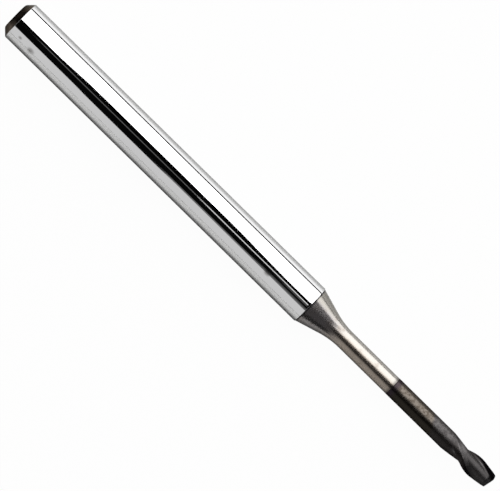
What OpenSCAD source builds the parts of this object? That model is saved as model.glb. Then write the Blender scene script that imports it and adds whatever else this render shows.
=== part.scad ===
// Long-neck end mill with a brazed-in carbide cutter.
// The tool lies along X with its tip at +X. The origin is on the axis, at the shank's front shoulder.

/* [Shank] */
// Diameter of the shank, which a collet grips
shank_d = 4; // [3.2:0.1:6]
// Length of the shank, its rear chamfer included
shank_length = 37.15; // [25:0.05:60]
// Width and depth of the chamfer at the rear end
rear_chamfer = 0.65; // [0.2:0.05:1]

/* [Neck] */
// How far the cutter stands out of the shank, from the shoulder to the tip
reach = 22.85; // [18.5:0.05:40]
// How far the neck lies inside the cutting circle, all round
neck_relief = 0.07; // [0.03:0.01:0.12]
// How far the wide end of the cone lies inside the shank, all round
shoulder_step = 0.05; // [0.02:0.01:0.15]
// Half angle of the cone between shank and neck, in degrees
cone_half_angle = 16.5; // [13:0.5:25]
// Radius of the hollow curve that runs the cone into the neck
cone_fillet_r = 8; // [2:0.5:10]

/* [Cutting head] */
// Diameter of the cutting circle, over the coating
cut_d = 2; // [1.6:0.05:2.5]
// Number of flutes
flutes = 2; // [2, 3]
// Slope of the cutting edges to the axis, in degrees
helix_angle = 30; // [20:1:42]
// Angle round the axis, from straight down, of the first cutting edge where it reaches the tip
edge_clocking = -20; // [-90:1:90]
// Length of the cutting part
flute_length = 3.3; // [2:0.1:5]
// Length in which a flute rises out into the neck
runout_length = 2.1; // [1:0.1:4]
// Depth of a flute at the tip, below the cutting circle
flute_depth = 0.32; // [0.25:0.01:0.4]
// How much deeper a flute is at the foot of its cutting face
gullet = 0.1; // [0.02:0.01:0.14]
// How much shallower a flute is at the end of the cutting part
web_taper = 0.03; // [0:0.01:0.1]
// Length in which the lands drop from the cutting circle to the neck
land_fade = 0.2; // [0.1:0.05:0.8]
// Angle that a land takes up round the axis
land_angle = 28; // [20:1:40]
// How far the back of a land lies below its cutting edge
land_relief = 0.13; // [0.02:0.01:0.2]
// Length in which the lands gain that relief, from the start of the cutting part
relief_fade = 0.8; // [0.2:0.1:1.5]
// Angle round the axis in which the cutting face curves down into the flute
face_angle = 24; // [15:1:28]
// Angle round the axis in which the flute rises to the back of the next land
back_angle = 32; // [25:1:42]
// Angle by which the run-out of a flute narrows on the side of its cutting face
runout_swing = 64; // [40:1:70]
// Angle by which it narrows on the side of the next land
heel_swing = 12; // [0:1:20]
// Radius on the corners of the tip
corner_r = 0.2; // [0.05:0.01:0.25]
// How far the middle of the end lies behind the end cutting edges
end_dish = 0.03; // [0.01:0.01:0.06]
// How far the back of an end land lies behind its cutting edge
end_relief = 0.11; // [0.02:0.01:0.15]
// Length of the gash that deepens each flute towards the middle of the end
gash_length = 0.6; // [0.4:0.1:1.8]
// Thickness that the gashes leave at the middle of the end
gash_web = 0.3; // [0.2:0.02:0.6]

/* [Coating] */
// Length of the coating, from the tip
coat_length = 12.4; // [10:0.1:15]
// Thickness of the coating
coat_thickness = 0.01; // [0.004:0.001:0.02]

/* [Brazed joint] */
// Diameter of the spigot that stands in the shank's socket
spigot_d = 2.2; // [1.6:0.1:2.8]
// Length of the spigot
spigot_length = 8; // [5:0.5:12]
// Chamfer on the spigot's end
spigot_chamfer = 0.2; // [0.1:0.05:0.4]
// Gap round the spigot that the filler metal fills
braze_gap = 0.05; // [0.02:0.01:0.1]
// Point angle of the drill that made the socket, in degrees
drill_angle = 118; // [90:1:140]

/* [Hidden] */
$fn = 96;

steel = [0.80, 0.80, 0.81];
filler_metal = [0.78, 0.66, 0.38];
bare_carbide = [0.46, 0.43, 0.40];
dark_film = [0.17, 0.16, 0.15];

// Points along each stretch of a flute's outline, and rings along each stretch of the head
land_steps = 6;
face_steps = 6;
floor_steps = 6;
back_steps = 3;
corner_steps = 4;
fillet_steps = 12;
ring_turn = 8;
tooth_points = land_steps + 1 + face_steps + floor_steps + back_steps - 1;
ring_points = flutes * tooth_points;

shank_r = shank_d / 2;
neck_r = cut_d / 2 - neck_relief;
spigot_r = spigot_d / 2;
socket_r = spigot_r + braze_gap;
socket_depth = spigot_length + braze_gap;
drill_point = socket_r / tan(drill_angle / 2);

// The hollow curve is tangent to the cone and to the neck
cone_r = shank_r - shoulder_step;
cone_length = (cone_r - neck_r - cone_fillet_r * (1 - cos(cone_half_angle))) / tan(cone_half_angle);
neck_start = cone_length + cone_fillet_r * sin(cone_half_angle);

// Under the coating the carbide has flat sides, just inside the round neck. The head allows for the film.
coat_start = reach - coat_length;
coated_length = coat_length - coat_thickness;
seat_r = neck_r * cos(180 / ring_points);
bare_tip = reach - coat_thickness;
bare_cut_r = cut_d / 2 - coat_thickness;
root_overlap = 0.5;

pitch = 360 / flutes;
turn_per_mm = 2 * tan(helix_angle) / cut_d * 180 / PI;
runout_end = flute_length + runout_length;
widest_swing = pitch - land_angle - heel_swing - back_angle - face_angle - 2;

function mix(a, b, u) = a + (b - a) * u;
function clamp01(u) = min(1, max(0, u));
function polar(r, angle) = [r * cos(angle), r * sin(angle)];

// Sizes of the bare head at a distance behind the tip
function web_r(behind) = bare_cut_r - flute_depth + web_taper * behind / flute_length;
function core_r(behind) = behind < gash_length
    ? mix(web_r(gash_length), gash_web / 2 - coat_thickness, pow(1 - behind / gash_length, 2))
    : behind < flute_length
    ? web_r(behind)
    : mix(web_r(flute_length), seat_r, runout(behind));
function runout(behind) = clamp01((behind - flute_length) / runout_length);
function foot_r(behind) = core_r(behind) - gullet * (1 - runout(behind)) * clamp01(behind / gash_length);
function corner_loss(behind) = behind < corner_r
    ? corner_r - sqrt(pow(corner_r, 2) - pow(corner_r - behind, 2))
    : 0;
function fade(behind) = clamp01((behind - flute_length) / land_fade);
function edge_r(behind) = mix(bare_cut_r - corner_loss(behind), seat_r, fade(behind));
function relief(behind) = land_relief
    * clamp01((flute_length + land_fade - behind) / (relief_fade + land_fade));
function heel_r(behind) = max(core_r(behind), edge_r(behind) - relief(behind));

// One tooth's outline, from the back of its land over the cutting edge and through the flute ahead of it.
// The edge is at angle 0. Both sides of the flute swing in where that runs out.
function land_width(behind) = land_angle
    + heel_swing * clamp01((behind - flute_length + relief_fade) / (runout_length + relief_fade));
function tooth(core, foot, edge, heel, swing, land) =
    let (face_end = swing + face_angle, heel_angle = pitch - land, floor_end = heel_angle - back_angle)
    concat(
        [for (i = [0:land_steps]) let (u = i / land_steps) polar(mix(heel, edge, u), mix(-land, swing, u))],
        [for (i = [1:face_steps]) let (u = i / face_steps)
            polar(foot + (edge - foot) * pow(1 - u, 2), swing + face_angle * mix(u, pow(u, 3), 0.92))],
        [for (i = [1:floor_steps]) let (u = i / floor_steps)
            polar(core + (foot - core) * pow(1 - u, 2), mix(face_end, floor_end, u))],
        [for (i = [1:back_steps - 1]) let (u = i / back_steps)
            polar(core + (heel - core) * pow(u, 2), mix(floor_end, heel_angle, u))]
    );
function turned(p, angle) = [p.x * cos(angle) - p.y * sin(angle), p.x * sin(angle) + p.y * cos(angle)];
function outline(behind) = let (one = tooth(core_r(behind), foot_r(behind), edge_r(behind), heel_r(behind),
    min(runout_swing, widest_swing) * runout(behind), land_width(behind)))
    [for (k = [0:flutes - 1], p = one) turned(p, k * pitch)];

// The same outline moved outwards by the film's thickness
function outward(a, b) = let (along = b - a) [along.y, -along.x] / norm(along);
function grown(points, i, by) = let (
    n = len(points),
    before = outward(points[(i + n - 1) % n], points[i]),
    after = outward(points[i], points[(i + 1) % n])
) points[i] + by * (before + after) / (1 + before * after);

// How far each point of a tooth's outline is set back at the end face. The end cutting edge runs along the
// face, and the end slopes away behind it.
function end_setback(i) = let (j = i % tooth_points)
    j <= land_steps
    ? end_relief * (1 - j / land_steps)
    : end_relief * clamp01((j - land_steps - face_steps) / floor_steps);
function pulled_back(behind, setback) = behind < gash_length
    ? setback + behind * (1 - setback / gash_length)
    : behind;

// Distances behind the tip at which the head has a ring, from the coating's edge to the tip
runout_rings = ceil(runout_length * turn_per_mm / ring_turn);
flute_rings = ceil((flute_length - corner_r) * turn_per_mm / ring_turn);
head_rings = concat(
    [coated_length],
    [for (i = [0:runout_rings - 1]) mix(runout_end, flute_length, i / runout_rings)],
    [for (i = [0:flute_rings - 1]) mix(flute_length, corner_r, i / flute_rings)],
    [for (i = [0:corner_steps]) corner_r * (1 - cos(90 * (1 - i / corner_steps)))]
);
core_rings = concat([coated_length + root_overlap], [for (i = [1:len(head_rings) - 1]) head_rings[i]]);

function placed(p, behind, lift) = let (q = turned(p, edge_clocking - turn_per_mm * min(behind, runout_end)))
    [q.x, q.y, bare_tip - behind + lift];
function ring(distance, by, lift) = [for (i = [0:ring_points - 1])
    let (behind = pulled_back(distance, end_setback(i)), points = outline(behind))
    placed(by > 0 ? grown(points, i, by) : points[i], behind, lift)];
function rings(distances, by, lift) = [for (k = [0:len(distances) - 1])
    each ring(distances[k], by, k == len(distances) - 1 ? lift : 0)];

// Triangles of a skin over rings, facing out, and of a fan that closes a ring as seen from the shank
function skin(first, count) = [for (k = [0:count - 2], i = [0:ring_points - 1])
    let (a = first + k * ring_points + i, b = first + k * ring_points + (i + 1) % ring_points)
    each [[a, a + ring_points, b + ring_points], [a, b + ring_points, b]]];
function fan(centre, first) = [for (i = [0:ring_points - 1])
    [centre, first + i, first + (i + 1) % ring_points]];
function flipped(faces) = [for (f = faces) [f[0], f[2], f[1]]];

// Round piece of the tool, given as half its outline, laid along X
module turned_piece(half_outline) {
    rotate([0, 90, 0]) rotate_extrude() polygon(half_outline);
}

module shank() {
    color(steel) turned_piece([
        [0, -shank_length],
        [shank_r - rear_chamfer, -shank_length],
        [shank_r, rear_chamfer - shank_length],
        [shank_r, 0],
        [socket_r, 0],
        [socket_r, -socket_depth],
        [0, -socket_depth - drill_point]
    ]);
}

module braze_joint() {
    color(filler_metal) turned_piece([
        [spigot_r, 0],
        [spigot_r, spigot_chamfer - spigot_length],
        [spigot_r - spigot_chamfer, -spigot_length],
        [0, -spigot_length],
        [0, -socket_depth - drill_point],
        [socket_r, -socket_depth],
        [socket_r, 0]
    ]);
}

// Spigot, cone and bare neck of the cutter
module cutter_stem() {
    hollow_curve = [for (i = [0:fillet_steps]) let (a = cone_half_angle * (1 - i / fillet_steps))
        [neck_r + cone_fillet_r * (1 - cos(a)), neck_start - cone_fillet_r * sin(a)]];
    turned_piece(concat(
        [
            [0, -spigot_length],
            [spigot_r - spigot_chamfer, -spigot_length],
            [spigot_r, spigot_chamfer - spigot_length],
            [spigot_r, 0],
            [cone_r, 0]
        ],
        hollow_curve,
        [
            [neck_r, coat_start],
            [0, coat_start]
        ]
    ));
}

// Fluted front of the cutter, rooted a little way inside the neck
module cutter_head() {
    count = len(core_rings);
    last = (count - 1) * ring_points;
    root_centre = count * ring_points;
    tip_centre = root_centre + 1;
    rotate([0, 90, 0]) polyhedron(
        points = concat(
            rings(core_rings, 0, 0),
            [[0, 0, coat_start - root_overlap], [0, 0, bare_tip - end_dish]]
        ),
        faces = concat(skin(0, count), fan(root_centre, 0), flipped(fan(tip_centre, last)))
    );
}

module carbide_cutter() {
    color(bare_carbide) {
        cutter_stem();
        cutter_head();
    }
}

module hard_coating() {
    count = len(head_rings);
    inner = count * ring_points;
    outer_centre = 2 * count * ring_points;
    inner_centre = outer_centre + 1;
    edge = [for (i = [0:ring_points - 1]) let (j = (i + 1) % ring_points)
        each [[i, j, inner + j], [i, inner + j, inner + i]]];
    color(dark_film) rotate([0, 90, 0]) polyhedron(
        points = concat(
            rings(head_rings, coat_thickness, coat_thickness),
            rings(head_rings, 0, 0),
            [[0, 0, reach - end_dish], [0, 0, bare_tip - end_dish]]
        ),
        faces = concat(
            skin(0, count),
            flipped(fan(outer_centre, inner - ring_points)),
            edge,
            flipped(skin(inner, count)),
            fan(inner_centre, outer_centre - ring_points)
        )
    );
}

shank();
braze_joint();
carbide_cutter();
hard_coating();
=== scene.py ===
import math

import bmesh
import bpy
from mathutils import Matrix, Vector


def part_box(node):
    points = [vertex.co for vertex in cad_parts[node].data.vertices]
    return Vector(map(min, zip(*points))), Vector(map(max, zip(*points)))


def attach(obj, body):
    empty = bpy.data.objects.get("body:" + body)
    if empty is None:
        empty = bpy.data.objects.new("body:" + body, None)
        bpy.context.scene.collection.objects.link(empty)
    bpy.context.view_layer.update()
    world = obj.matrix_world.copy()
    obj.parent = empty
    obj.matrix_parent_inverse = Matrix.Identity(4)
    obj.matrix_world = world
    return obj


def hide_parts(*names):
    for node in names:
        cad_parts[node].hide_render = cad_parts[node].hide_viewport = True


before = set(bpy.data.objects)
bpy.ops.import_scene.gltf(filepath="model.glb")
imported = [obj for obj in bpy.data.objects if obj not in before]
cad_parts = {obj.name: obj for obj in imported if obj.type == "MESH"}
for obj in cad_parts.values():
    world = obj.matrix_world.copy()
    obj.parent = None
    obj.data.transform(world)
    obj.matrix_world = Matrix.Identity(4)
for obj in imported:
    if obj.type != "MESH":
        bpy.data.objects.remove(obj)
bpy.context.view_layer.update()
mm = 0.001
print("frame loaded:", ", ".join(sorted(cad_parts)))


# Shader maths

class Wire:  # an output socket that takes part in sums
    def __init__(self, board, socket):
        self.board = board
        self.socket = socket

    def __add__(self, other):
        return self.board.maths("ADD", self, other)

    def __sub__(self, other):
        return self.board.maths("SUBTRACT", self, other)

    def __rsub__(self, other):
        return self.board.maths("SUBTRACT", other, self)

    def __mul__(self, other):
        return self.board.maths("MULTIPLY", self, other)

    def __abs__(self):
        return self.board.maths("ABSOLUTE", self, 0)

    __radd__ = __add__
    __rmul__ = __mul__


class Board:  # the node tree of one finish, or of the world
    def __init__(self, name, owner=None):
        self.owner = owner or bpy.data.materials.new(name)
        self.owner.use_nodes = True
        self.tree = self.owner.node_tree
        self.tree.nodes.clear()

    def node(self, kind, settings, sockets, out=0):
        made = self.tree.nodes.new(kind)
        for key, value in settings.items():
            setattr(made, key, value)
        for key, value in sockets.items():
            if isinstance(value, Wire):
                self.tree.links.new(value.socket, made.inputs[key])
            else:
                made.inputs[key].default_value = value
        return Wire(self, made.outputs[out]) if made.outputs else None

    def maths(self, operation, a, b):
        return self.node("ShaderNodeMath", {"operation": operation}, {0: a, 1: b})

    def blend(self, a, b, share):
        a, b = (c if isinstance(c, Wire) else (*c, 1) for c in (a, b))
        return self.node("ShaderNodeMix", {"data_type": "RGBA"}, {0: share, 6: a, 7: b}, 2)

    def step(self, value, low, high):  # 0 below low, 1 above high
        return self.node("ShaderNodeMapRange", {"interpolation_type": "SMOOTHSTEP"},
                         {"Value": value, "From Min": low, "From Max": high})

    def place(self):  # where a point is on the tool, in millimetres
        point = self.node("ShaderNodeTexCoord", {}, {}, "Object")
        return self.node("ShaderNodeVectorMath", {"operation": "SCALE"}, {0: point, "Scale": 1 / mm})

    def axis(self, point, name):
        return self.node("ShaderNodeSeparateXYZ", {}, {0: point}, name)

    def stretch(self, point, factors):
        return self.node("ShaderNodeVectorMath", {"operation": "MULTIPLY"}, {0: point, 1: factors})

    def distance(self, point, spot):
        return self.node("ShaderNodeVectorMath", {"operation": "DISTANCE"}, {0: point, 1: spot}, "Value")

    def fromAxis(self, point):
        across = self.stretch(point, (0, 1, 1))
        return self.node("ShaderNodeVectorMath", {"operation": "LENGTH"}, {0: across}, "Value")

    def noise(self, point, scale, detail=3.0, roughness=0.55):
        return self.node("ShaderNodeTexNoise", {},
                         {"Vector": point, "Scale": scale, "Detail": detail, "Roughness": roughness})

    def bump(self, height, depth, under=None):  # depth in millimetres
        sockets = {"Height": height, "Distance": depth * mm, "Strength": 1.0}
        if under:
            sockets["Normal"] = under
        return self.node("ShaderNodeBump", {}, sockets)

    def emission(self, colour, level):
        return self.node("ShaderNodeEmission", {}, {"Color": (*colour, 1), "Strength": level})

    def paint(self, colour):
        return self.node("ShaderNodeBsdfDiffuse", {}, {"Color": (*colour, 1)})

    def show(self, shader):
        self.node("ShaderNodeOutputMaterial", {}, {"Surface": shader})
        return self.owner

    def finish(self, sockets):
        return self.show(self.node("ShaderNodeBsdfPrincipled", {}, sockets))


# Modelling helpers

def mix(a, b, u):
    return a + (b - a) * u


def clamp(u):
    return min(1.0, max(0.0, u))


def turn(profile, steps):  # spins half an outline of (x, radius) points about X
    bm = bmesh.new()
    verts = [bm.verts.new((x, 0, r)) for x, r in profile]
    edges = [bm.edges.new(pair) for pair in zip(verts, verts[1:])]
    bmesh.ops.spin(bm, geom=verts + edges, cent=(0, 0, 0), axis=(1, 0, 0), angle=math.tau, steps=steps,
                   use_merge=True)
    bmesh.ops.remove_doubles(bm, verts=bm.verts, dist=0.0005 * mm)
    bmesh.ops.recalc_face_normals(bm, faces=bm.faces)
    return bm


def breakEdges(bm, x, radius, width):  # rounds the ring of edges at one place of a turned piece
    near = 0.002 * mm
    ring = [e for e in bm.edges
            if all(abs(v.co.x - x) < near and abs(v.co.yz.length - radius) < near for v in e.verts)]
    bmesh.ops.bevel(bm, geom=ring, offset=width, affect="EDGES", segments=4, profile=0.5, material=-1)


def shade(bm, sharpAngle):
    for face in bm.faces:
        face.smooth = True
    for edge in bm.edges:
        edge.smooth = edge.calc_face_angle(0) < math.radians(sharpAngle)


def addMesh(name, bm, material):
    mesh = bpy.data.meshes.new(name)
    bm.to_mesh(mesh)
    bm.free()
    mesh.materials.append(material)
    made = bpy.data.objects.new(name, mesh)
    bpy.context.scene.collection.objects.link(made)
    return made


def makePiece(name, bm, node, material):
    piece = addMesh(name, bm, material)
    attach(piece, "root")
    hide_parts(node)
    print(f"{name}: {len(piece.data.polygons)} faces")
    return piece


# Shank

shankLow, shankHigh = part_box("shank")
shank = {
    "rear": shankLow.x,
    "front": shankHigh.x,
    "radius": min(shankHigh.y, shankHigh.z),
    "chamfer": 0.65 * mm,
    "endBreak": 0.14 * mm,
    "rearBreak": 0.03 * mm,
    "frontBreak": 0.03 * mm,
    "extraRing": 0.2 * mm,  # a ring near each end keeps the shading of the long side straight
    "socketRadius": 1.15 * mm,
    "socketDepth": 8.05 * mm,
    "drillPoint": 0.69 * mm,
    "steps": 256,
    "sharpAngle": 30,
    "polish": (0.78, 0.78, 0.785),
    "edgeTint": (0.5, 0.5, 0.5, 1),
    "markColour": (0.30, 0.29, 0.285),
    "marks": ((-33.94, -1.42, 1.41, 0.41), (-35.41, -1.24, 1.57, 0.21), (-4.82, -0.79, 1.84, 0.37)),
    "markSquash": 0.75,  # the marks, each a place and a size in millimetres, are longer along the bar
    "paintedChamfer": ((0.007, 0.006, 0.005), (0.018, 0.013, 0.010)),  # the chamfer on top and below, painted near black: a painted dark reflection
    "chamferSheen": ((0.15, 0.122, 0.098), (0.25, 0.204, 0.165)),  # and at its two sides, painted lighter and browner: a painted reflection
    "lineDepth": 0.00003,
    "ringDepth": 0.002,
}


def polishedSteel():
    b = Board("polishedSteel")
    s = shank
    point = b.place()
    along, y = b.axis(point, "X"), b.axis(point, "Y")
    edge = (s["rear"] + s["chamfer"]) / mm
    ground = 1 - b.step(along, edge - 0.05, edge + 0.03)  # the chamfer and the rear face, left as ground

    marks = 0.0
    squashed = b.stretch(point, (s["markSquash"], 1, 1))
    for markX, markY, markZ, size in s["marks"]:
        away = b.distance(squashed, (markX * s["markSquash"], markY, markZ))
        marks = marks + (1 - b.step(away, 0.2 * size, size))
    marks = marks * (0.65 + b.noise(point, 2.5) * 0.6)
    polished = b.blend(s["polish"], s["markColour"], marks * 0.9)

    patches = b.step(b.noise(point, 1.6, 4.0), 0.45, 0.65)
    # the chamfer's colour is a painted reflection, dark on top and below and lighter at its two sides
    sides = b.step(abs(y - 0.2), 0.1, 1.75)
    paintedChamfer, chamferSheen = (b.blend(*pair, patches) for pair in (s["paintedChamfer"], s["chamferSheen"]))
    paintedChamfer = b.blend(paintedChamfer, chamferSheen, sides * sides)

    smear = b.step(b.noise(point, 0.55, 4.0), 0.52, 0.75)
    lines = b.noise(b.stretch(point, (30, 0.6, 0.6)), 1.0)
    slant = b.fromAxis(point) * 28 + along * 28  # steps along the chamfer and across the rear face
    rings = b.noise(b.node("ShaderNodeCombineXYZ", {}, {0: slant}), 1.0)
    normal = b.bump(lines, s["lineDepth"])
    return b.finish({
        "Base Color": b.blend(polished, paintedChamfer, ground),
        "Roughness": 0.035 + smear * 0.02 + marks * 0.12 + ground * 0.22,
        "Metallic": 1.0,
        "Specular Tint": s["edgeTint"],
        "Normal": b.bump(rings * ground, s["ringDepth"], normal),
    })


def makeShank():
    s = shank
    sideStart = s["rear"] + s["chamfer"]
    socketEnd = s["front"] - s["socketDepth"]
    bm = turn([
        (s["rear"], 0),
        (s["rear"], s["radius"] - s["chamfer"]),
        (sideStart, s["radius"]),
        (sideStart + s["extraRing"], s["radius"]),
        (s["front"] - s["extraRing"], s["radius"]),
        (s["front"], s["radius"]),
        (s["front"], s["socketRadius"]),
        (socketEnd, s["socketRadius"]),
        (socketEnd - s["drillPoint"], 0),
    ], s["steps"])
    breakEdges(bm, s["rear"], s["radius"] - s["chamfer"], s["endBreak"])
    breakEdges(bm, sideStart, s["radius"], s["rearBreak"])
    breakEdges(bm, s["front"], s["radius"], s["frontBreak"])
    shade(bm, s["sharpAngle"])
    makePiece("shankBar", bm, "shank", polishedSteel())


makeShank()


# Fluted head, whose shape the carbide cutter and its coating share. From here sizes are in millimetres.

filmLow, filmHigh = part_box("hard_coating")
head = {
    "tip": filmHigh.x / mm - 0.002,
    "cutRadius": 1.0,
    "neckRadius": 0.938,
    "teeth": 2,
    "helix": 30.0,
    "clocking": -20.0,
    "fluteLength": 3.3,
    "runoutLength": 2.1,
    "fluteDepth": 0.32,
    "gullet": 0.10,
    "webTaper": 0.03,
    "landFade": 0.2,
    "landAngle": 28.0,
    "landRelief": 0.13,
    "reliefFade": 0.8,
    "faceAngle": 24.0,
    "faceCurve": 0.92,
    "backAngle": 32.0,
    "runoutSwing": 64.0,
    "heelSwing": 12.0,
    "cornerRadius": 0.2,
    "endDish": 0.03,
    "endRelief": 0.11,
    "gashLength": 0.6,
    "gashWeb": 0.3,
    "steps": {"land": 14, "face": 16, "floor": 24, "back": 12},  # points of one tooth's outline
    "rings": {"runout": 44, "flutes": 36, "gash": 18, "corner": 10},
    "endRings": (0.85, 0.65, 0.45, 0.25, 0.1),  # shares of the radius
}
head["turnPerMm"] = math.degrees(math.tan(math.radians(head["helix"])) / head["cutRadius"])
head["runoutEnd"] = head["fluteLength"] + head["runoutLength"]
toothPoints = sum(head["steps"].values())
ringPoints = head["teeth"] * toothPoints


def toothOutline(slot):  # which stretch of the tooth a point is on, and how far along it
    left = slot % toothPoints
    for stretch, count in head["steps"].items():
        if left < count:
            return stretch, left / count
        left -= count


def sectionRadii(behind):  # core, foot of the face, edge and heel at a distance behind the tip
    h = head
    web = h["cutRadius"] - h["fluteDepth"] + h["webTaper"] * min(behind, h["fluteLength"]) / h["fluteLength"]
    rising = clamp((behind - h["fluteLength"]) / h["runoutLength"])
    web = mix(web, h["neckRadius"], rising)
    core = mix(web, h["gashWeb"] / 2, (1 - clamp(behind / h["gashLength"])) ** 2)
    foot = core - h["gullet"] * (1 - rising) * clamp(behind / h["gashLength"])
    short = max(0.0, h["cornerRadius"] - behind)
    corner = h["cornerRadius"] - math.sqrt(max(0.0, h["cornerRadius"] ** 2 - short ** 2))
    fade = clamp((behind - h["fluteLength"]) / h["landFade"])
    edge = mix(h["cutRadius"] - corner, h["neckRadius"], fade)
    left = clamp((h["fluteLength"] + h["landFade"] - behind) / (h["reliefFade"] + h["landFade"]))
    return core, foot, edge, max(core, edge - h["landRelief"] * left)


def toothPoint(slot, behind):  # radius and angle round the axis
    h = head
    stretch, u = toothOutline(slot)
    core, foot, edge, heel = sectionRadii(behind)
    heelFade = clamp((behind - h["fluteLength"] + h["reliefFade"]) / (h["runoutLength"] + h["reliefFade"]))
    landAngle = h["landAngle"] + h["heelSwing"] * heelFade  # the flute narrows from both sides
    start = h["runoutSwing"] * clamp((behind - h["fluteLength"]) / h["runoutLength"])
    heelAngle = 360 / h["teeth"] - landAngle
    floorEnd = heelAngle - h["backAngle"]
    if stretch == "land":
        radius, angle = mix(heel, edge, u), mix(-landAngle, start, u)
    elif stretch == "face":
        radius = foot + (edge - foot) * (1 - u) ** 2
        angle = start + h["faceAngle"] * mix(u, u ** 3, h["faceCurve"])
    elif stretch == "floor":
        radius, angle = core + (foot - core) * (1 - u) ** 2, mix(start + h["faceAngle"], floorEnd, u)
    else:
        radius, angle = core + (heel - core) * u ** 2, mix(floorEnd, heelAngle, u)
    tooth = slot // toothPoints * 360 / h["teeth"]
    twist = h["clocking"] - h["turnPerMm"] * min(behind, h["runoutEnd"])
    return radius, math.radians(angle + tooth + twist)


def endSetback(slot):  # the end slopes away behind each end cutting edge, which runs along the face
    stretch, u = toothOutline(slot)
    share = {"land": 1 - u, "face": 0.0, "floor": u}.get(stretch, 1.0)
    return head["endRelief"] * share


def headPlace(slot, distance):
    setback = endSetback(slot)
    behind = distance + setback * (1 - clamp(distance / head["gashLength"]))
    radius, angle = toothPoint(slot, behind)
    return Vector((head["tip"] - behind, radius * math.sin(angle), -radius * math.cos(angle))) * mm


def roundPlace(slot, x, radius):
    angle = toothPoint(slot, head["runoutEnd"])[1]
    return Vector((x, radius * math.sin(angle), -radius * math.cos(angle))) * mm


def roundRings(outline):  # places of the plain rings, from (x, radius) points
    return [lambda slot, x=x, r=r: roundPlace(slot, x, r) for x, r in outline]


def headRings():  # places of the rings from the run-out to the tip, then over the end to its middle
    h, count = head, head["rings"]
    stops = [(h["runoutEnd"], h["fluteLength"], count["runout"]),
             (h["fluteLength"], h["gashLength"], count["flutes"]),
             (h["gashLength"], h["cornerRadius"], count["gash"])]
    distances = [mix(a, b, i / n) for a, b, n in stops for i in range(n)]
    quarter = [math.radians(90 * (1 - i / count["corner"])) for i in range(count["corner"] + 1)]
    distances += [h["cornerRadius"] * (1 - math.cos(a)) for a in quarter]
    rings = [lambda slot, d=d: headPlace(slot, d) for d in distances]
    for share in h["endRings"]:
        def endRing(slot, share=share):
            place = headPlace(slot, 0.0)
            dish = h["endDish"] * (1 - share)
            return Vector((place.x - dish * mm, place.y * share, place.z * share))
        rings.append(endRing)
    return rings


def loft(rings, closeStart):  # extrudes one loop from ring to ring and closes the tip
    bm = bmesh.new()
    slotLayer = bm.verts.layers.int.new("slot")
    loop = bmesh.ops.create_circle(bm, cap_ends=closeStart, radius=mm, segments=ringPoints)["verts"]
    for i, v in enumerate(loop):
        v[slotLayer] = i
        v.co = rings[0](i)
    edges = [e for e in bm.edges if abs(e.verts[0][slotLayer] - e.verts[1][slotLayer]) in (1, ringPoints - 1)]
    for ring in rings[1:]:
        made = bmesh.ops.extrude_edge_only(bm, edges=edges)["geom"]
        loop = [g for g in made if isinstance(g, bmesh.types.BMVert)]
        fresh = set(loop)
        edges = [g for g in made if isinstance(g, bmesh.types.BMEdge) and fresh.issuperset(g.verts)]
        for v in loop:
            v.co = ring(v[slotLayer])
    middle = sum((v.co for v in loop), Vector()) / len(loop)
    bmesh.ops.pointmerge(bm, verts=loop, merge_co=middle)
    bmesh.ops.recalc_face_normals(bm, faces=bm.faces)
    if bm.calc_volume(signed=True) < 0:
        bmesh.ops.reverse_faces(bm, faces=bm.faces)
    return bm


# Carbide cutter

cutter = {
    "spigotRadius": 1.1,
    "spigotEnd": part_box("carbide_cutter")[0].x / mm,
    "spigotChamfer": 0.2,
    "coneRadius": shank["radius"] / mm - 0.05,
    "coneBreak": 0.03,
    "coneHalfAngle": 16.5,
    "filletRadius": 8.0,
    "neckRadius": 0.93,
    "filmStart": filmLow.x / mm,
    "filmRamp": 0.05,  # from the bare neck to the neck under the film
    "underFilm": 0.015,  # how far the carbide lies under the film
    "rings": {"cone": 12, "fillet": 32, "neck": 6},
    "sharpAngle": 30,
    "cone": ((0.28, 0.264, 0.262), (0.275, 0.262, 0.238)),  # colours of the -Y and the +Y side, each painted to the tint of the light it reflects: a painted highlight on the +Y side
    "neck": ((0.325, 0.28, 0.238), (0.36, 0.343, 0.318)),
    "stain": (0.20, 0.165, 0.135),
    "seam": (0.03, 0.028, 0.03),
    "tinge": (0.06, 0.05, 0.048),
    "fineDepth": 0.001,
    "coarseDepth": 0.0025,
}


def groundCarbide():
    b = Board("groundCarbide")
    c = cutter
    point = b.place()
    along, y = b.axis(point, "X"), b.axis(point, "Y")
    onNeck = b.step(along, 1.5, 4.8)
    fine = b.noise(b.stretch(point, (34, 1.1, 1.1)), 1.0, 4.0, 0.65)
    coarse = b.noise(b.stretch(point, (7, 0.7, 0.7)), 1.0, 3.0)
    cloud = b.noise(point, 1.4, 4.0)
    # the +Y side, under the softbox, is a painted highlight: warmer on the cone, lighter on the neck; the
    # neck's -Y side is painted darker and browner as painted shade
    cone = b.blend(*c["cone"], b.step(y, 0.3, 0.9))
    neck = b.blend(*c["neck"], b.step(y, -0.1, 0.3))
    colour = b.blend(cone, neck, onNeck)
    colour = b.blend(colour, c["stain"], b.step(cloud, 0.5, 0.72) * 0.5)
    seam = 1 - b.step(along, 0.04, 0.2)  # the dark line where the cone meets the shank
    colour = b.blend(colour, c["seam"], seam)
    tinge = b.step(along + cloud * 0.15, c["filmStart"] - 0.3, c["filmStart"] + 0.12)  # overspray of the film
    colour = b.blend(colour, c["tinge"], tinge * 0.8)
    normal = b.bump(fine, c["fineDepth"])
    return b.finish({
        "Base Color": colour,
        "Roughness": 0.25 + onNeck * 0.02 + (fine - 0.5) * 0.1,
        "Metallic": 1.0,
        "Normal": b.bump(coarse, c["coarseDepth"], normal),
    })


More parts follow.
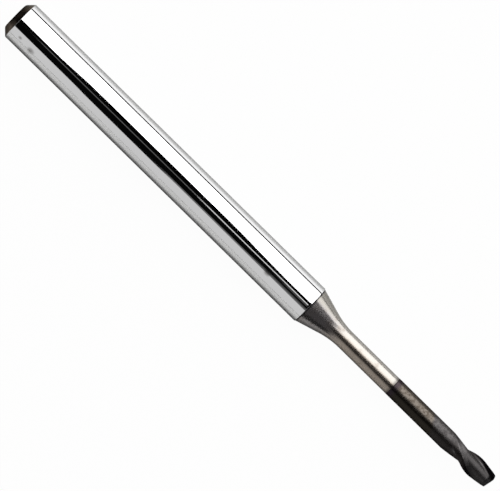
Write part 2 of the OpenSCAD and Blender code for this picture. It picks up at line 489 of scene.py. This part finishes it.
def cutterOutline():  # (x, radius) points from the spigot's end to the film
    c, count = cutter, cutter["rings"]
    slope = math.radians(c["coneHalfAngle"])
    drop = c["coneRadius"] - c["neckRadius"] - c["filletRadius"] * (1 - math.cos(slope))
    coneLength = drop / math.tan(slope)
    neckStart = coneLength + c["filletRadius"] * math.sin(slope)
    outline = [
        (c["spigotEnd"], c["spigotRadius"] - c["spigotChamfer"]),
        (c["spigotEnd"] + c["spigotChamfer"], c["spigotRadius"]),
        (0.0, c["spigotRadius"]),
        (0.0, c["coneRadius"] - c["coneBreak"]),
        (c["coneBreak"], c["coneRadius"] - c["coneBreak"] * math.tan(slope)),
    ]
    for i in range(1, count["cone"]):
        x = coneLength * i / count["cone"]
        outline.append((x, c["coneRadius"] - x * math.tan(slope)))
    for i in range(count["fillet"] + 1):
        a = slope * (1 - i / count["fillet"])
        outline.append((neckStart - c["filletRadius"] * math.sin(a),
                        c["neckRadius"] + c["filletRadius"] * (1 - math.cos(a))))
    outline += [(mix(neckStart, c["filmStart"], i / count["neck"]), c["neckRadius"])
                for i in range(1, count["neck"] + 1)]
    outline.append((c["filmStart"] + c["filmRamp"], head["neckRadius"]))
    return outline


def makeCutter():
    c = cutter
    bm = loft(roundRings(cutterOutline()) + headRings(), True)
    bm.normal_update()
    covered = (c["filmStart"] + c["filmRamp"] / 2) * mm
    for v in bm.verts:
        if v.co.x > covered:
            v.co -= v.normal * c["underFilm"] * mm
    shade(bm, c["sharpAngle"])
    makePiece("carbideCutter", bm, "carbide_cutter", groundCarbide())


makeCutter()


# Hard coating

film = {
    "start": filmLow.x / mm,
    "feather": 0.12,
    "firstLift": 0.001,  # of its first ring above the bare neck
    "thickness": 0.008,
    "neckRings": 6,
    "sharpAngle": 24,
    "fades": {  # where each zone fades, in millimetres behind the tip
        "head": (4.4, 5.8),
        "flutes": (4.3, 5.0),
        "rising": (3.2, 4.2),
        "oneSided": (3.0, 3.6),
        "lands": (2.4, 3.1),
        "faces": (1.2, 2.0),
        "fluteEnd": (0.3, 0.85),
        "end": (0.04, 0.16),
    },
    "tintEnd": (15.5, 15.9),  # along the tool
    "fringeEnd": (0.25, 0.8),  # from the film's start
    "plain": ((0.050, 0.046, 0.046), (0.092, 0.087, 0.086)),
    "flute": ((0.050, 0.047, 0.047), (0.135, 0.128, 0.128)),  # and where it rises to the neck, painted lighter as a painted highlight
    "face": (0.155, 0.148, 0.148),
    "besideFlute": (0.036, 0.033, 0.033),
    # the under colours are painted shade, for the side away from the softbox
    "under": (0.030, 0.026, 0.025),
    "tan": ((0.060, 0.050, 0.040), (0.118, 0.103, 0.089)),
    "tanSpeck": (0.020, 0.016, 0.013),
    "tanLimb": (0.045, 0.038, 0.031),
    "tanUnder": (0.030, 0.026, 0.021),
    "fringe": (0.030, 0.022, 0.028),
    "fluteEnd": (0.012, 0.011, 0.011),
    "land": (0.008, 0.007, 0.008),
    "edgeTint": (0.45, 0.45, 0.45, 1),
    "fineDepth": 0.0012,
    "grainDepth": 0.0015,
}


def darkFilm():
    b = Board("darkFilm")
    f, h = film, head
    point = b.place()
    along, y, z = (b.axis(point, name) for name in "XYZ")
    blotch = b.noise(point, 2.2, 5.0, 0.62)
    mottle = b.noise(point, 4.0, 4.0, 0.6)
    speck = b.step(b.noise(point, 7.0, 3.0), 0.56, 0.68)
    grain = b.noise(point, 22.0, 3.0, 0.6)
    fine = b.noise(b.stretch(point, (26, 1.0, 1.0)), 1.0, 4.0, 0.6)

    behind = h["tip"] - along
    past = {zone: b.step(behind, *limits) for zone, limits in f["fades"].items()}
    nearHead, fluted, rising = 1 - past["head"], 1 - past["flutes"], past["rising"]

    wrapTop = 65.0
    angle = b.maths("ARCTAN2", y, 0 - z) * math.degrees(1)
    angle = angle - h["clocking"] + behind * h["turnPerMm"]  # from a cutting edge
    wrapLow = wrapTop - 360 / h["teeth"]
    angle = b.node("ShaderNodeMath", {"operation": "WRAP"}, {0: angle, 1: wrapTop, 2: wrapLow})
    swing = b.node("ShaderNodeMapRange", {}, {
        "Value": behind, "From Min": h["fluteLength"] - h["reliefFade"], "From Max": h["runoutEnd"]})
    heelLine = angle + h["landAngle"] + swing * h["heelSwing"]

    inFlute = fluted * (1 - b.step(heelLine - rising * 8, -3, 1) * (1 - b.step(angle, 2, 8)))
    upperFlute = b.step(y * 0.69 + z * 0.83, 0.2, 0.45)
    # past the run-out only the flute's upper side keeps the lighter flute colours; below it gets painted
    # shade
    inFlute = inFlute * (1 - past["oneSided"] * (1 - upperFlute))
    onFace = inFlute * b.step(angle, 3, 9) * (1 - b.step(angle, 24, 40)) * past["faces"]
    fluteEnd = inFlute * (1 - past["fluteEnd"]) * b.step(y, 0.0, 0.25)
    outside = b.step(b.fromAxis(point) - behind * 0.13, 0.45, 0.55)
    onTooth = b.step(heelLine, -3, 3) * (1 - b.step(angle, 5, 11)) * outside * (1 - past["lands"])
    smooth = 1 - (1 - onTooth) * past["end"]  # lands and end face, painted black as a painted dark reflection

    upper = y * 0.9 + z * 0.44 + (blotch - 0.5) * 0.4 - nearHead * 0.25
    upper = b.step(upper, 0.1, 0.6)  # the side facing the softbox keeps the lighter colours, the other side gets painted shade
    tinted = 1 - b.step(along + y * 0.5 + blotch * 0.6, *f["tintEnd"])  # heat tint near the bare neck
    fringe = 1 - b.step(along, *(f["start"] + d for d in f["fringeEnd"]))

    plain = b.blend(*f["plain"], b.step(mottle, 0.35, 0.65))
    # the flute rising to the neck is painted lighter, a painted highlight
    plain = b.blend(plain, b.blend(*f["flute"], rising), fluted * 0.75)
    # painted highlight: the cutting faces are painted lighter
    plain = b.blend(plain, f["face"], onFace * 0.8)
    # painted shade beside the flutes near the head
    plain = b.blend(plain, f["besideFlute"], nearHead * (1 - inFlute) * 0.6)
    # painted shade: away from the softbox and outside the flutes the film is painted darker
    lit = 1 - (1 - upper) * (1 - inFlute)
    plain = b.blend(f["under"], plain, lit * 0.85 + 0.15)
    tan = b.blend(*f["tan"], b.step(mottle, 0.36, 0.6))
    tan = b.blend(tan, f["tanSpeck"], speck * b.step(blotch, 0.45, 0.6) * 0.8)
    # painted shade in a band near the upper limb, which narrows the tan highlight
    tan = b.blend(tan, f["tanLimb"], b.step(y, 0.5, 0.68) * 0.6)
    # painted shade on the tinted film's side away from the softbox
    tan = b.blend(f["tanUnder"], tan, lit)
    colour = b.blend(plain, tan, tinted)
    colour = b.blend(colour, f["fringe"], fringe * 0.85)
    # painted shade in the pocket where the flute ends at the tip
    colour = b.blend(colour, f["fluteEnd"], fluteEnd * 0.65)
    # painted dark reflection on the lands and the end face
    colour = b.blend(colour, f["land"], smooth)
    normal = b.bump(fine, f["fineDepth"])
    return b.finish({
        "Base Color": colour,
        "Roughness": 0.43 - tinted * 0.10 + inFlute * 0.05 + (blotch - 0.5) * 0.15 * (1 - fluted),
        "Metallic": 1.0,
        "Specular Tint": f["edgeTint"],
        "Normal": b.bump(grain, f["grainDepth"], normal),
    })


def makeFilm():
    f = film
    full = f["start"] + f["feather"]
    runoutStart = head["tip"] - head["runoutEnd"]
    outline = [(f["start"], cutter["neckRadius"] + f["firstLift"]), (full, head["neckRadius"])]
    outline += [(mix(full, runoutStart, i / f["neckRings"]), head["neckRadius"])
                for i in range(1, f["neckRings"])]
    bm = loft(roundRings(outline) + headRings(), False)
    shade(bm, f["sharpAngle"])
    piece = makePiece("hardCoating", bm, "hard_coating", darkFilm())
    wall = piece.modifiers.new("wall", "SOLIDIFY")
    wall.thickness = f["thickness"] * mm
    wall.offset = -1.0


makeFilm()


# Braze, hidden in the joint: the CAD node keeps its shape

braze = {
    "bright": (0.72, 0.58, 0.32),
    "dark": (0.52, 0.40, 0.22),
    "flowDepth": 0.01,
}


def brazeMetal():
    b = Board("brazeMetal")
    flow = b.noise(b.place(), 1.8, 4.0)
    return b.finish({
        "Base Color": b.blend(braze["bright"], braze["dark"], b.step(flow, 0.4, 0.65)),
        "Roughness": 0.28 + flow * 0.2,
        "Metallic": 1.0,
        "Normal": b.bump(flow, braze["flowDepth"]),
    })


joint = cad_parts["braze_joint"]
joint.data.materials.clear()
joint.data.materials.append(brazeMetal())
print("braze finished")


# Camera

view = {
    "target": Vector((-7.605, 0.033, 0.0)) * mm,
    "distance": 500 * mm,
    "leanAlong": 1.7,  # towards the shank, in degrees
    "leanAcross": -4.3,  # towards -Y
    "axisSlope": 44.477,  # the tool runs down to the right at this angle
    "pixelsPerMm": 11.1,
    "frameWidth": 500,
    "sensorWidth": 36,
    "clip": (0.01, 20),
}


def makeCamera():
    v = view
    along, across = math.radians(v["leanAlong"]), math.radians(v["leanAcross"])
    back = Vector((-math.sin(along), math.sin(across) * math.cos(along), math.cos(across) * math.cos(along)))
    tool = (Vector((1, 0, 0)) - back * back.x).normalized()  # the tool's axis as the picture shows it
    side = back.cross(tool)
    slope = math.radians(v["axisSlope"])
    right = tool * math.cos(slope) + side * math.sin(slope)
    up = side * math.cos(slope) - tool * math.sin(slope)
    data = bpy.data.cameras.new("camera")
    data.sensor_width = v["sensorWidth"]
    data.lens = v["sensorWidth"] * v["distance"] / mm * v["pixelsPerMm"] / v["frameWidth"]
    data.clip_start, data.clip_end = v["clip"]
    camera = bpy.data.objects.new("camera", data)
    place = Matrix((right, up, back)).transposed().to_4x4()
    place.translation = v["target"] + back * v["distance"]
    camera.matrix_world = place
    bpy.context.scene.collection.objects.link(camera)
    bpy.context.scene.camera = camera


makeCamera()


# Floor, lamps and world. Angles are round the tool's axis, from straight up towards +Y; places are in metres.

stage = {
    "floorSize": 6.0,
    "floorZ": -shank["radius"] - 0.002 * mm,
    "paper": (0.61, 0.61, 0.60),
    "dark": (0.02, 0.02, 0.02),
    "whiteToCamera": 0.97,
    "whiteToGloss": 0.06,
    "lampSideToGloss": 0.94,  # how white the steel sees the paper on the softbox's side: a painted pool of light, seen only in reflections
    "lampSideFrom": (4, 13),  # in millimetres from the tool
    "darkToGloss": 0.55,  # and how dark the tool's painted shadow is that the steel sees close by on the other side
    "darkFrom": (-2, 0),
    "darkTo": (3.2, 7.8),
    "glossBoost": 0.2,
    "worldLevel": 0.002,
    "glowLevel": 0.6,
    "glowAlong": (0.62, 0.9),  # the glow's edges, as parts of a direction
    "glowUp": (0.12, 0.3),
}
onFloor = stage["floorZ"] + 0.2 * mm
lamps = {  # the angles of both edges, the distance, the length and the middle along the tool
    "softbox": {"angles": (5.2, 83.3), "distance": 0.35, "length": 0.60, "x": 0.0, "level": 3.0},
    "fillSheet": {"angles": (-90.15, -44.9), "distance": 0.6, "length": 0.82, "x": -0.19, "level": 0.7},
    "fillLip": {"angles": (-44.9, -38.0), "distance": 0.6, "length": 0.282, "x": 0.129, "level": 0.16},
    "lipFront": {"angles": (-38.0, -31.5), "distance": 0.6, "length": 0.256, "x": 0.142, "level": 0.06},
    "slitRear": {"angles": (-13.0, -9.0), "distance": 0.45, "length": 0.038, "x": -0.025, "level": 0.12},
    "slitFront": {"angles": (-13.6, -9.0), "distance": 0.45, "length": 0.031, "x": 0.010, "level": 0.8},
    "slitFoot": {"angles": (-22.5, -14.5), "distance": 0.45, "length": 0.012, "x": 0.0205, "level": 0.075},
}
flags = {  # level sheets that the metal sees in its reflections
    "lensShade": {"corner": (-0.0406, 0.013, 0.375), "size": (0.0554, 0.081), "taper": (0.0085, 0.0138)},
    "lensFoot": {"corner": (-0.0355, -0.445, 0.41), "size": (0.0236, 0.055)},
    "neckShade": {"corner": (0.026, 0.0, 0.43), "size": (0.09, 0.08)},
    "baseFlag": {"corner": (-0.6, 0.046, onFloor), "size": (1.2, 0.4), "shades": False},
    "coneFlag": {"corner": (0.02, -0.43, onFloor), "size": (0.4, 0.41), "level": 0.12, "shades": False},
    "frontFlag": {"corner": (0.128, -0.45, 0.25), "size": (0.5, 0.69), "level": 0.13},
}
flagTint = (1, 0.96, 1)


def makeSheet(name, corner, size, material, taper=(0, 0)):  # level, from its corner towards +X and +Y
    bm = bmesh.new()
    bmesh.ops.create_grid(bm, x_segments=1, y_segments=1, size=0.5)
    bmesh.ops.scale(bm, verts=bm.verts, vec=(*size, 1))
    for v in bm.verts:
        if v.co.y > 0:  # the +Y side may be shorter
            v.co.x += taper[0] if v.co.x < 0 else -taper[1]
    bmesh.ops.translate(bm, verts=bm.verts, vec=(corner[0] + size[0] / 2, corner[1] + size[1] / 2, corner[2]))
    sheet = addMesh(name, bm, material)
    return sheet


def paperFloor():
    b = Board("paperFloor")
    s = stage
    seen, gloss, through = (b.node("ShaderNodeLightPath", {}, {}, f"Is {ray} Ray")
                            for ray in ("Camera", "Glossy", "Transmission"))
    y = b.axis(b.place(), "Y")
    # painted pool of light on the softbox's side, seen only in reflections
    lampSide = b.step(y, *s["lampSideFrom"]) * s["lampSideToGloss"] + s["whiteToGloss"]
    # painted shadow of the tool on the paper, seen only in reflections
    farSide = (1 - b.step(y * -1, *s["darkTo"])) * (1 - b.step(y, *s["darkFrom"])) * s["darkToGloss"]
    share = (seen + through) * s["whiteToCamera"] + gloss * lampSide
    # in reflections the white glows brighter than strength 1, painted light
    white = b.emission((1, 1, 1), gloss * s["glossBoost"] + 1)
    mixed = b.node("ShaderNodeMixShader", {}, {0: share, 1: b.paint(s["paper"]), 2: white})
    mixed = b.node("ShaderNodeMixShader", {}, {0: gloss * farSide, 1: mixed, 2: b.paint(s["dark"])})
    return b.show(mixed)


def makeFloor():
    size = stage["floorSize"]
    makeSheet("floor", (-size / 2, -size / 2, stage["floorZ"]), (size, size), paperFloor())


def makeLamp(name, angles, distance, length, x, level):
    middle, half = math.radians(sum(angles) / 2), math.radians((angles[1] - angles[0]) / 2)
    data = bpy.data.lights.new(name, "AREA")
    data.shape = "RECTANGLE"
    data.size = length
    data.size_y = 2 * distance * math.tan(half)
    data.energy = level * math.pi * data.size * data.size_y
    lamp = bpy.data.objects.new(name, data)
    lamp.location = (x, distance * math.sin(middle), distance * math.cos(middle))
    lamp.rotation_euler = (-middle, 0, 0)
    lamp.visible_camera = False
    bpy.context.scene.collection.objects.link(lamp)


def makeFlag(name, corner, size, level=0.0, shades=True, taper=(0, 0)):
    b = Board(name)
    flag = makeSheet(name, corner, size, b.show(b.emission(flagTint, level)), taper)
    flag.visible_camera = flag.visible_diffuse = False
    flag.visible_shadow = shades


def makeRoom():  # dim, with a soft glow low at both ends of the tool
    b = Board("studio", bpy.data.worlds.new("studio"))
    x, z = (b.axis(b.node("ShaderNodeTexCoord", {}, {}, "Generated"), name) for name in "XZ")
    glow = b.step(abs(x), *stage["glowAlong"]) * b.step(z, *stage["glowUp"])
    level = glow * stage["glowLevel"] + stage["worldLevel"]
    room = b.node("ShaderNodeBackground", {}, {"Color": (1, 1, 1, 1), "Strength": level})
    b.node("ShaderNodeOutputWorld", {}, {"Surface": room})
    bpy.context.scene.world = b.owner


makeFloor()
for name, lamp in lamps.items():
    makeLamp(name, **lamp)
for name, flag in flags.items():
    makeFlag(name, **flag)
makeRoom()
bpy.context.scene.view_settings.view_transform = "Standard"
print("camera, floor and lamps in place")
